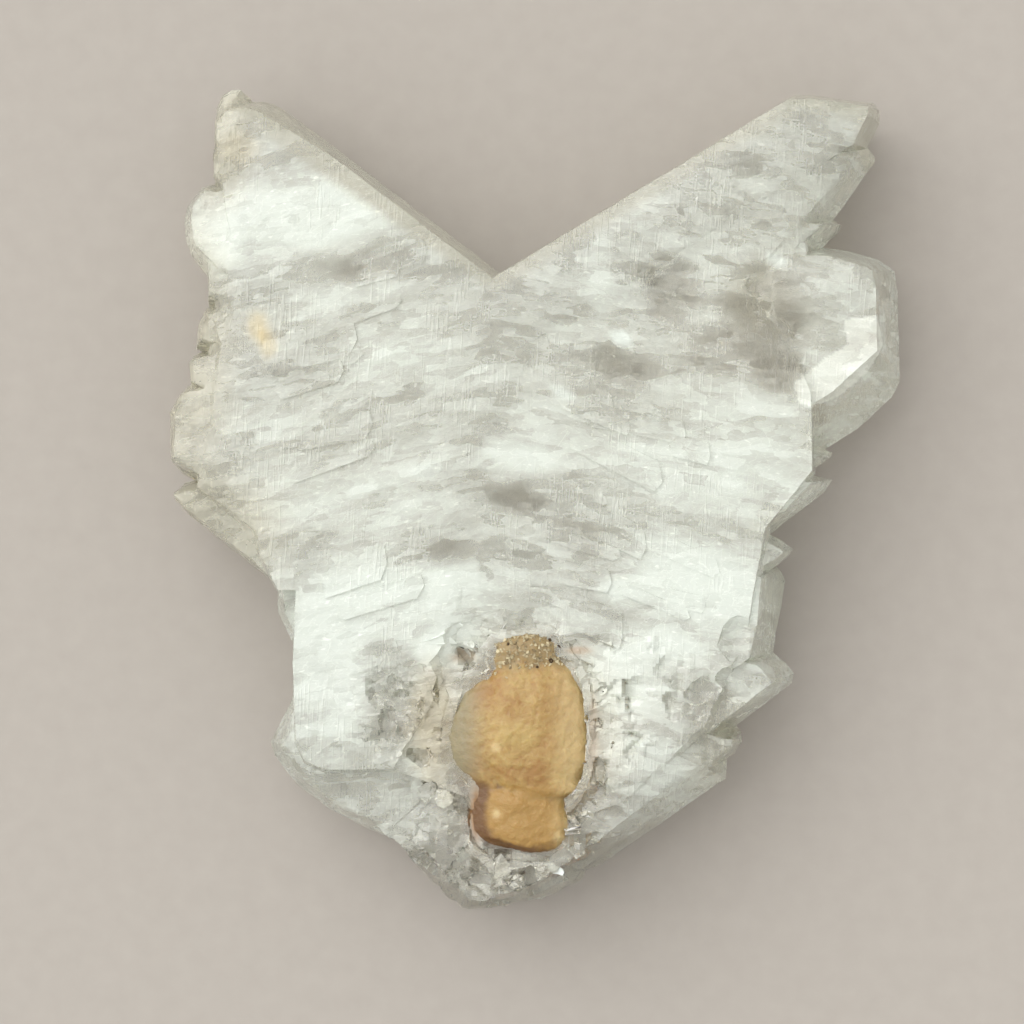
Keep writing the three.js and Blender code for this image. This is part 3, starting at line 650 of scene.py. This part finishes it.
# One scatter plan for each family. The guide is an attribute, its range, and the share of points at each
# end of it. Powers above 1 favour short and thin pieces. Where a room limit is given, a piece is at most
# that many times as long as the glass is deep about it. Mirrored pieces lean with the chevron.
deepStreaks = {
    "depthsMm": (6.0, 9.0, 12.6), "marginMm": 1.0, "guide": ("crowding", -0.7, 0.9, 0.1, 1.5),
    "perSquareMm": 0.07, "seed": 11, "lengthMm": (0.3, 2.6), "widthMm": (0.06, 0.7), "thickMm": (0.03, 0.03),
    "shortPower": 2.2, "thinPower": 2.0, "tiltDeg": 9.0, "fanDeg": 16.0, "turnDeg": 0.0,
    "roomLimit": 1.7, "mirrored": 1.0,
}
grains = {
    "guide": ("crust", 0.0, 1.0, 0.0, 1.0), "perSquareMm": 7.0, "seed": 8, "lengthMm": (0.16, 0.6),
    "widthMm": (0.16, 0.5), "thickMm": (0.16, 0.42), "shortPower": 2.2, "thinPower": 2.0,
    "tiltDeg": 180.0, "fanDeg": 180.0, "turnDeg": 0.0, "roomLimit": 0.0, "mirrored": 0.0,
}


def makeSeed(sides, taper):  # a prism one millimetre across, drawn in or out at its middle
    bpy.ops.mesh.primitive_cylinder_add(vertices=sides, radius=0.5 * millimetre, depth=millimetre)
    seed = bpy.context.object
    selectVertices(seed, lambda point: point.z > 0)
    bpy.ops.transform.resize(value=(taper, taper, 1))
    bpy.ops.object.mode_set(mode="OBJECT")
    return seed


def scatter(carrier, seedPiece, plan):  # copies of the seed over the carrier's faces, merged into one mesh
    tree = newTree("scatter")
    salt = iter(range(plan["seed"] * 10, plan["seed"] * 10 + 10))

    def chance(low, high, power=1.0):
        even = addNode(tree, "FunctionNodeRandomValue", {"data_type": "FLOAT", 2: 0.0, 3: 1.0,
                       "Seed": next(salt)})
        bent = addNode(tree, "ShaderNodeMath", {"operation": "POWER", 1: power}, {0: even.outputs[1]})
        drawn = addNode(tree, "ShaderNodeMapRange", {"To Min": low, "To Max": high},
                        {"Value": bent.outputs[0]})
        return drawn.outputs[0]

    source = addNode(tree, "NodeGroupInput")
    name, least, most, fewest, fullest = plan["guide"]
    guide = addNode(tree, "GeometryNodeInputNamedAttribute", {"data_type": "FLOAT", "Name": name})
    perArea = plan["perSquareMm"] / millimetre ** 2
    density = addNode(tree, "ShaderNodeMapRange", {"From Min": least, "From Max": most,
                      "To Min": fewest * perArea, "To Max": fullest * perArea}, {"Value": guide.outputs[0]})
    points = addNode(tree, "GeometryNodeDistributePointsOnFaces", {"Seed": plan["seed"]},
                     {"Mesh": source.outputs[0], "Density": density.outputs[0]})
    spot = addNode(tree, "GeometryNodeInputPosition")
    axes = addNode(tree, "ShaderNodeSeparateXYZ", None, {0: spot.outputs[0]})
    seamFoot = (twin["notchY"] * twin["seamLean"] - twin["notchX"]) * millimetre
    seam = addNode(tree, "ShaderNodeMath", {"operation": "MULTIPLY_ADD", 1: -twin["seamLean"], 2: seamFoot},
                   {0: axes.outputs["Y"]})
    aside = addNode(tree, "ShaderNodeMath", {"operation": "ADD"}, {0: axes.outputs["X"], 1: seam.outputs[0]})
    side = addNode(tree, "ShaderNodeMath", {"operation": "SIGN"}, {0: aside.outputs[0]})
    fan, tilt, turn = (math.radians(plan[k]) for k in ("fanDeg", "tiltDeg", "turnDeg"))
    heading = addNode(tree, "ShaderNodeMath", {"operation": "MULTIPLY_ADD",
                      1: -math.atan(twin["streakDrop"]) * plan["mirrored"]},
                      {0: side.outputs[0], 2: chance(turn - fan, turn + fan)})
    angles = addNode(tree, "ShaderNodeCombineXYZ", None,
                     {0: chance(-tilt, tilt), 1: chance(-tilt, tilt), 2: heading.outputs[0]})
    turned = addNode(tree, "FunctionNodeEulerToRotation", None, {0: angles.outputs[0]})
    length = chance(*plan["lengthMm"], plan["shortPower"])
    if plan["roomLimit"]:
        room = addNode(tree, "GeometryNodeInputNamedAttribute", {"data_type": "FLOAT", "Name": "room"})
        longest = addNode(tree, "ShaderNodeMath", {"operation": "MULTIPLY",
                          1: plan["roomLimit"] / millimetre}, {0: room.outputs[0]})
        length = addNode(tree, "ShaderNodeMath", {"operation": "MINIMUM"},
                         {0: length, 1: longest.outputs[0]}).outputs[0]
    size = addNode(tree, "ShaderNodeCombineXYZ", None,
                   {0: length, 1: chance(*plan["widthMm"], plan["thinPower"]), 2: chance(*plan["thickMm"])})
    pattern = addNode(tree, "GeometryNodeObjectInfo", {"Object": seedPiece})
    copies = addNode(tree, "GeometryNodeInstanceOnPoints", None,
                     {"Points": points.outputs[0], "Instance": pattern.outputs["Geometry"],
                      "Rotation": turned.outputs[0], "Scale": size.outputs[0]})
    shaded = addNode(tree, "GeometryNodeStoreNamedAttribute", {"data_type": "FLOAT", "domain": "INSTANCE",
                     "Name": "shade"}, {"Geometry": copies.outputs[0], "Value": chance(0.0, 1.0)})
    solid = addNode(tree, "GeometryNodeRealizeInstances", None, {"Geometry": shaded.outputs[0]})
    addNode(tree, "NodeGroupOutput", None, {0: solid.outputs[0]})
    applyModifier(carrier, "NODES", node_group=tree)
    removePiece(seedPiece)
    carrier.data.materials.clear()
    return carrier


film = {
    "white": "#E2E5E1", "pearl": "#C9CCC6", "splinterRough": 0.45, "flakeRough": 0.35,
    "lineMm": (2.5, 0.5, 2.5),  # growth lines across a wide flake
}


def filmMaterial(name, rough, lined):
    # An air-filled crack in gypsum mirrors the sky: clean white with a pearly grey cast, which changes from
    # splinter to splinter, or along faint growth lines on a wide flake.
    material, tree = newMaterial(name)
    if lined:
        spot = addNode(tree, "ShaderNodeTexCoord").outputs["Object"]
        perMetre = [1 / (size * millimetre) for size in film["lineMm"]]
        drawn = addNode(tree, "ShaderNodeMapping", {"Scale": perMetre}, {"Vector": spot})
        shade = addNode(tree, "ShaderNodeTexNoise", {"Scale": 1.0, "Detail": 2.0},
                        {"Vector": drawn.outputs[0]}).outputs["Fac"]
    else:
        shade = addNode(tree, "ShaderNodeAttribute", {"attribute_name": "shade"}).outputs["Fac"]
    tint = addNode(tree, "ShaderNodeMix", {"data_type": "RGBA", 6: toLinear(film["pearl"]),
                   7: toLinear(film["white"])}, {0: shade})
    mirror = addNode(tree, "ShaderNodeBsdfPrincipled", {"Roughness": rough, "Specular IOR Level": 0.0},
                     {"Base Color": tint.outputs[2]})
    addNode(tree, "ShaderNodeOutputMaterial", None, {"Surface": mirror.outputs[0]})
    return material


# Open cracks, each a bright flake: x and y of its middle, half width, half height, turn and tilt.
flakes = {
    "thickMm": 0.12, "corners": 13, "seed": 3, "underTopMm": 0.5, "uneven": (0.75, 1.1),
    "spots": ((24.2, 23.3, 1.3, 0.7, -25, 10), (9.2, 15.6, 1.5, 0.9, -32, 8),
              (3.4, 10.5, 1.6, 0.5, -28, 8), (12.4, 8.2, 0.7, 0.9, 10, 8), (-9.8, 2.9, 1.6, 0.8, 12, 4),
              (-1.0, -7.1, 1.4, 0.6, 2, 3), (-12.2, -30.2, 0.9, 0.5, 35, 12),
              (19.8, -17.8, 2.2, 0.7, -18, 6), (8.4, -27.6, 1.0, 0.8, 60, 14),
              (-6.0, -34.5, 1.6, 0.7, 40, 20), (2.6, -36.0, 1.2, 0.5, -30, 18),
              (-16.8, -12.8, 1.6, 0.8, 20, 10)),
}


def makeFlake(corners):  # corners are places in metres
    bpy.ops.mesh.primitive_circle_add(vertices=len(corners), radius=millimetre, fill_type="NGON")
    flake = bpy.context.object
    for vertex, corner in zip(flake.data.vertices, corners):
        vertex.co = corner
    applyModifier(flake, "SOLIDIFY", thickness=flakes["thickMm"] * millimetre, offset=0.0)
    return flake


def makeFlakes():
    solid = BVHTree.FromObject(selenite, bpy.context.evaluated_depsgraph_get())

    def under(x, y, depthMm):  # the place that far below the crystal's top
        hit = solid.ray_cast(place(x, y, 30), Vector((0, 0, -1)))[0]
        return hit - Vector((0, 0, depthMm * millimetre))

    rng = random.Random(flakes["seed"])
    made = []
    for x, y, halfWide, halfHigh, turn, tilt in flakes["spots"]:
        stand = Matrix.Rotation(math.radians(turn), 4, "Z") @ Matrix.Rotation(math.radians(tilt), 4, "X")
        corners = []
        for i in range(flakes["corners"]):
            angle = 2 * math.pi * i / flakes["corners"]
            reach = rng.uniform(*flakes["uneven"])
            corner = place(halfWide * reach * math.cos(angle), halfHigh * reach * math.sin(angle), 0)
            corners.append(stand @ corner)
        middle = under(x, y, flakes["underTopMm"])
        made.append(makeFlake([middle + corner for corner in corners]))
    piece = joinPieces(made, "bright_flakes")
    openAll(piece)
    bpy.ops.mesh.normals_make_consistent(inside=False)
    bpy.ops.object.mode_set(mode="OBJECT")
    return piece


splinters = scatter(makeSheets("cleavage_splinters", deepStreaks["depthsMm"], deepStreaks["marginMm"]),
                    makeSeed(3, 1.0), deepStreaks)
splinters.data.materials.append(filmMaterial("air film", film["splinterRough"], False))
brightFlakes = makeFlakes()
brightFlakes.data.materials.append(filmMaterial("open cleavage", film["flakeRough"], True))
for piece in (splinters, brightFlakes):
    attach(piece, "root")
    print(piece.name, "laid:", len(piece.data.polygons), "faces")

# The honey calcite lump, with its crust of sand.

calcite = {
    "voxelMm": 0.26, "smoothing": 2, "lumpMm": 2.2, "lumpHighMm": 0.34, "sugarMm": 0.55, "sugarHighMm": 0.2,
    # the fourth colour on the next line is painted shade for the block's steep left and foot sides; cream
    # also paints light on the right side
    "honey": "#8D662C", "pale": "#A4894E", "cream": "#B79E6C", "shadeAmber": "#5E3B06", "drab": "#85795A",
    "crust": "#8E774C", "foot": "#957233", "sandDark": "#7A6A4C", "sandPale": "#C2B594", "iron": "#3E2C18",
    "ior": 1.6, "rough": (0.38, 0.62), "waxShare": 0.35, "waxMm": (2.2, 1.2, 0.5),
    "cloudMm": 3.5, "bumpMm": 0.34, "bumpStrength": 0.9, "sugarShare": 0.6,
    # the places that end in X, Y or Z say where a zone starts and where it is full, along that axis
    "blockY": (-27.0, -28.4), "blockMiddleX": -3.5, "blockWiden": 1.14,  # the squared block at the foot
    "flareX": (-2.5, -4.2), "flareY": (-33.0, -34.2), "flareZ": (15.6, 14.4),
    "flareMm": (1.0, 0.1),  # how far the block's sunk walls spread to the left and to the foot
    "bellyX": -0.4, "bellyY": -22.6, "bellyReachMm": (5.5, 1.5), "bellyWiden": 1.09,
    "wallY": (-26.4, -28.2), "wallZ": (15.5, 15.1), "footY": (-27.2, -28.2),
    # the right side is painted paler, as light scattered in from the crystal, over its pale knobbly rim
    "drabX": (-3.2, -6.6), "drabY": (-28.5, -26.0), "paleRimAndLightX": (1.5, 4.5), "paleRimAndLightShare": 0.8,
    "crustFromY": -15.6, "crustDeepMm": 2.6, "crustRaggedMm": 0.9,  # brown sand from here to the notch end
    "crease": ((3.5, -29.4), (0.8, -28.9), (-2.6, -27.9), (-3.8, -25.8)),
    "creaseDeepMm": 0.3, "creaseWideMm": 0.8, "creaseAboveMm": 12,
    "paleSpots": ((-3.0, -24.0, 0.7), (-3.0, -30.5, 0.6), (3.1, -32.8, 0.8)),
    "specks": ((3.1, -14.2, 0.75), (2.2, -13.6, 0.35), (-3.4, -14.6, 0.35), (2.3, -15.6, 0.45),
               (-1.8, -14.0, 0.3), (1.0, -16.2, 0.28), (3.6, -15.2, 0.32)),  # x, y and width
    "speckUneven": 0.7, "ironShade": -1.0,  # sand has shades from 0 to 1
}


def makeLump():
    piece = copyOfNode("honey_calcite_lump", "honey_calcite")
    applyModifier(piece, "REMESH", mode="VOXEL", voxel_size=calcite["voxelMm"] * millimetre)
    applyModifier(piece, "SMOOTH", factor=0.5, iterations=calcite["smoothing"])
    for name, sizeMm, highMm in (("knobs", calcite["lumpMm"], calcite["lumpHighMm"]),
                                 ("sugar", calcite["sugarMm"], calcite["sugarHighMm"])):
        relief = bpy.data.textures.new(name, "CLOUDS")
        relief.noise_scale = sizeMm * millimetre
        relief.noise_depth = 2
        applyModifier(piece, "DISPLACE", texture=relief, texture_coords="LOCAL",
                      strength=highMm * millimetre, mid_level=0.75)
    left, behind = calcite["flareMm"]
    for vertex in piece.data.vertices:
        block = smoothstep(*calcite["blockY"], vertex.co.y / millimetre)
        wider = (calcite["blockWiden"] - 1) * block
        vertex.co.x += (vertex.co.x - calcite["blockMiddleX"] * millimetre) * wider
        sunk = block * smoothstep(*calcite["flareZ"], vertex.co.z / millimetre)
        vertex.co.x -= left * millimetre * sunk * smoothstep(*calcite["flareX"], vertex.co.x / millimetre)
        vertex.co.y -= behind * millimetre * sunk * smoothstep(*calcite["flareY"], vertex.co.y / millimetre)
        offBelly = abs(vertex.co.y / millimetre - calcite["bellyY"])
        fuller = (calcite["bellyWiden"] - 1) * smoothstep(*calcite["bellyReachMm"], offBelly)
        vertex.co.x += (vertex.co.x - calcite["bellyX"] * millimetre) * fuller
        if vertex.co.z > calcite["creaseAboveMm"] * millimetre:
            dip = smoothstep(calcite["creaseWideMm"], 0.0, nearest(vertex.co, calcite["crease"]))
            vertex.co.z -= calcite["creaseDeepMm"] * millimetre * dip
    pickOnly(piece)
    bpy.ops.object.shade_smooth()

    def wallShade(vertex):  # 1 on the steep walls at the left and the foot of the block, painted dark brown as shade
        deep = smoothstep(*calcite["wallZ"], vertex.co.z / millimetre)
        low = smoothstep(*calcite["wallY"], vertex.co.y / millimetre)
        return deep * low * smoothstep(0.5, -0.1, vertex.normal.x)

    def crust(vertex):
        edge = calcite["crustFromY"] + noise.noise(vertex.co * 900) * calcite["crustRaggedMm"]
        return smoothstep(edge - 0.5 * calcite["crustDeepMm"], edge + 0.3, vertex.co.y / millimetre)

    def pale(vertex):
        x, y = vertex.co.x / millimetre, vertex.co.y / millimetre
        return max(smoothstep(reach, 0.3 * reach, math.hypot(x - cx, y - cy))
                   for cx, cy, reach in calcite["paleSpots"])

    def drab(vertex):  # the left third is greyer
        left = smoothstep(*calcite["drabX"], vertex.co.x / millimetre)
        return left * smoothstep(*calcite["drabY"], vertex.co.y / millimetre)

    def bright(vertex):  # the right side is paler: its pale knobbly rim, and painted light scattered in from the crystal around it
        right = smoothstep(*calcite["paleRimAndLightX"], vertex.co.x / millimetre)
        return calcite["paleRimAndLightShare"] * right * (1 - crust(vertex))

    def foot(vertex):  # the block at the foot is a shade deeper
        return smoothstep(*calcite["footY"], vertex.co.y / millimetre)

    for name, rule in (("wallShade", wallShade), ("crust", crust), ("pale", pale), ("drab", drab), ("foot", foot),
                       ("bright", bright)):
        mark(piece, name, rule)
    return piece


def calciteMaterial():
    # Calcite coloured by iron: waxy, as light sinks a millimetre or two into it, with a fine sugary skin.
    material, tree = newMaterial("honey calcite")
    spot = addNode(tree, "ShaderNodeTexCoord").outputs["Object"]
    mottle, sugar = (
        addNode(tree, "ShaderNodeTexNoise", {"Scale": 1 / (calcite[size] * millimetre), "Detail": 4.0},
                {"Vector": spot}).outputs["Fac"]
        for size in ("cloudMm", "sugarMm"))
    both = addNode(tree, "ShaderNodeMath", {"operation": "MULTIPLY_ADD", 1: calcite["sugarShare"]},
                   {0: sugar, 2: mottle})
    spread = addNode(tree, "ShaderNodeMapRange", {"From Min": 0.62, "From Max": 0.98},
                     {"Value": both.outputs[0]})
    tint = addNode(tree, "ShaderNodeMix", {"data_type": "RGBA", 6: toLinear(calcite["honey"]),
                   7: toLinear(calcite["pale"])}, {0: spread.outputs[0]})
    # the steep left and foot sides get painted shade in dark brown, and the right side gets painted light in
    # cream
    for name, colour in (("foot", "foot"), ("bright", "cream"), ("drab", "drab"), ("pale", "cream"),
                         ("wallShade", "shadeAmber"), ("crust", "crust")):
        share = addNode(tree, "ShaderNodeAttribute", {"attribute_name": name}).outputs["Fac"]
        tint = addNode(tree, "ShaderNodeMix", {"data_type": "RGBA", 7: toLinear(calcite[colour])},
                       {0: share, 6: tint.outputs[2]})
    bump = addNode(tree, "ShaderNodeBump", {"Strength": calcite["bumpStrength"],
                   "Distance": calcite["bumpMm"] * millimetre}, {"Height": both.outputs[0]})
    smoothest, roughest = calcite["rough"]
    gloss = addNode(tree, "ShaderNodeMapRange", {"To Min": smoothest, "To Max": roughest}, {"Value": sugar})
    wax = addNode(tree, "ShaderNodeBsdfPrincipled", {"IOR": calcite["ior"],
                  "Subsurface Weight": calcite["waxShare"], "Subsurface Scale": millimetre,
                  "Subsurface Radius": calcite["waxMm"]},
                  {"Base Color": tint.outputs[2], "Normal": bump.outputs[0], "Roughness": gloss.outputs[0]})
    addNode(tree, "ShaderNodeOutputMaterial", None, {"Surface": wax.outputs[0]})
    return material


def grainMaterial():
    # Sand stuck in the calcite's crust: dull brown grains, the darkest almost black iron specks.
    material, tree = newMaterial("iron-stained sand")
    shade = addNode(tree, "ShaderNodeAttribute", {"attribute_name": "shade"}).outputs["Fac"]
    tint = addNode(tree, "ShaderNodeMix", {"data_type": "RGBA", 6: toLinear(calcite["sandDark"]),
                   7: toLinear(calcite["sandPale"])}, {0: shade})
    iron = addNode(tree, "ShaderNodeMath", {"operation": "LESS_THAN", 1: 0.5 * calcite["ironShade"]},
                   {0: shade})
    tint = addNode(tree, "ShaderNodeMix", {"data_type": "RGBA", 7: toLinear(calcite["iron"])},
                   {0: iron.outputs[0], 6: tint.outputs[2]})
    dull = addNode(tree, "ShaderNodeBsdfPrincipled", {"Roughness": 0.7, "Specular IOR Level": 0.3},
                   {"Base Color": tint.outputs[2]})
    addNode(tree, "ShaderNodeOutputMaterial", None, {"Surface": dull.outputs[0]})
    return material


def makeSpecks(carrier):  # dark iron grains that stick out of the crust
    tops = BVHTree.FromObject(carrier, bpy.context.evaluated_depsgraph_get())
    specks = []
    for x, y, size in calcite["specks"]:
        spot = tops.ray_cast(place(x, y, 30), Vector((0, 0, -1)))[0]
        bpy.ops.mesh.primitive_ico_sphere_add(subdivisions=2, radius=0.5 * size * millimetre)
        speck = bpy.context.object
        for vertex in speck.data.vertices:
            bulge = noise.noise(vertex.co / size * 4000 + spot * 900)
            vertex.co = vertex.co * (1 + calcite["speckUneven"] * bulge) + spot
        mark(speck, "shade", lambda vertex: calcite["ironShade"])
        specks.append(speck)
    return joinPieces(specks, "iron_specks")


lump = makeLump()
ironSpecks = makeSpecks(lump)
looseSand = scatter(duplicatePiece(lump, "crust_grains"), makeSeed(5, 0.6), grains)
sand = joinPieces([looseSand, ironSpecks], "crust_grains")
lump.data.materials.append(calciteMaterial())
sand.data.materials.append(grainMaterial())
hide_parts("honey_calcite_lump")
for piece in (lump, sand):
    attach(piece, "root")
    print(piece.name, "shaped:", len(piece.data.polygons), "faces")
